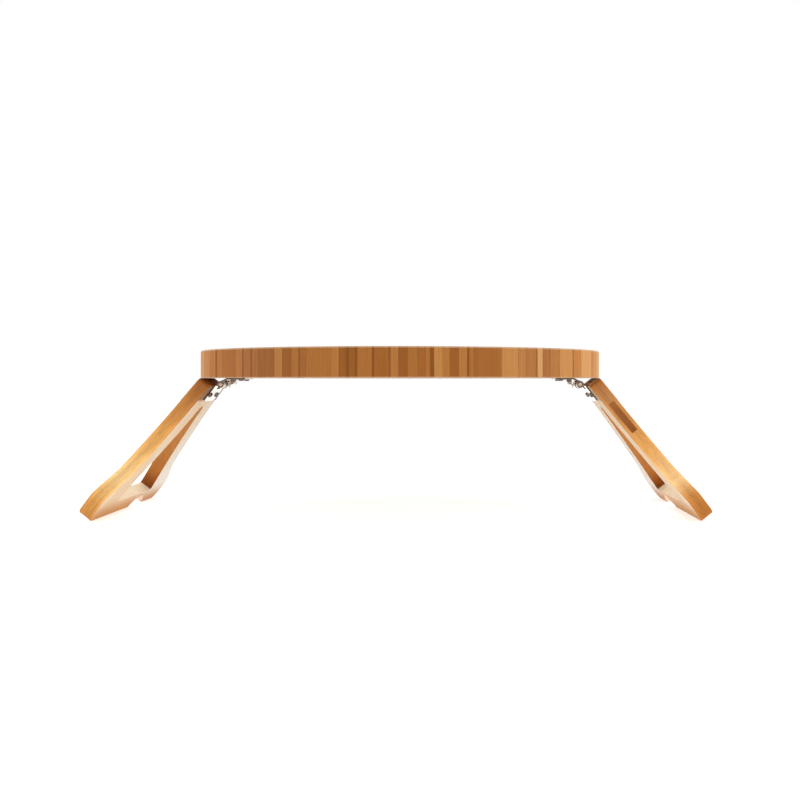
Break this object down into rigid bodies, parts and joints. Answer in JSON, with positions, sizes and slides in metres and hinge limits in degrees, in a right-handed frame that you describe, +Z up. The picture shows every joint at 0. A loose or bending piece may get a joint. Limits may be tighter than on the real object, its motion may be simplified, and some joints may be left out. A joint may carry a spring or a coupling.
{
  "type": "folding bed tray table",
  "caption": "Oval bamboo bed tray with a raised rim on two splayed, flared leg boards that fold flat under it on steel hinges with spring catches.",
  "frame": {"origin": "on the floor, below the middle of the tray", "axes": "+X along the tray towards the right-hand leg, +Y towards the far long side, +Z up"},
  "size_m": [0.8104, 0.356, 0.2204],
  "materials": {
    "rim_bamboo": "clear satin lacquer over caramel bamboo strips standing on end",
    "panel_bamboo": "clear satin lacquer over pale bamboo strips laid lengthwise",
    "leg_bamboo": "clear satin lacquer over laminated bamboo with light faces and a darker core",
    "dowel_wood": "bare turned wood",
    "hinge_steel": "bright nickel-plated pressed steel",
    "pin_steel": "plain bright steel",
    "catch_steel": "nickel-plated pressed steel",
    "spring_steel": "blued spring steel",
    "screw_steel": "zinc-plated steel with a cross recess"
  },
  "bodies": {
    "tray": {"rim_front": "rim_bamboo", "rim_back": "rim_bamboo", "rim_left_end": "rim_bamboo", "rim_right_end": "rim_bamboo", "rim_dowels": "dowel_wood", "tray_panel": "panel_bamboo", "left_tray_leaf": "hinge_steel", "left_hinge_pin": "pin_steel", "left_catch_pin": "pin_steel", "left_catch_spring": "spring_steel", "left_spring_rivet": "pin_steel", "left_tray_screws": "screw_steel", "right_tray_leaf": "hinge_steel", "right_hinge_pin": "pin_steel", "right_catch_pin": "pin_steel", "right_catch_spring": "spring_steel", "right_spring_rivet": "pin_steel", "right_tray_screws": "screw_steel"},
    "left_leg_assembly": {"left_leg": "leg_bamboo", "left_leg_leaf": "hinge_steel", "left_leg_screws": "screw_steel"},
    "left_catch_assembly": {"left_catch": "catch_steel"},
    "right_leg_assembly": {"right_leg": "leg_bamboo", "right_leg_leaf": "hinge_steel", "right_leg_screws": "screw_steel"},
    "right_catch_assembly": {"right_catch": "catch_steel"}
  },
  "joints": [
    {"name": "left_leg_fold", "type": "hinge", "parent": "tray", "child": "left_leg_assembly", "pos_m": [-0.24861, 0, 0.17475], "axis": [0, -1, 0], "range_deg": [0, 127.5]},
    {"name": "left_catch_release", "type": "hinge", "parent": "tray", "child": "left_catch_assembly", "pos_m": [-0.23611, 0, 0.17715], "axis": [0, -1, 0], "range_deg": [0, 12], "stiffness_Nm_per_rad": 0.02},
    {"name": "right_leg_fold", "type": "hinge", "parent": "tray", "child": "right_leg_assembly", "pos_m": [0.24861, 0, 0.17475], "axis": [0, 1, 0], "range_deg": [0, 127.5]},
    {"name": "right_catch_release", "type": "hinge", "parent": "tray", "child": "right_catch_assembly", "pos_m": [0.23611, 0, 0.17715], "axis": [0, 1, 0], "range_deg": [0, 12], "stiffness_Nm_per_rad": 0.02}
  ]
}
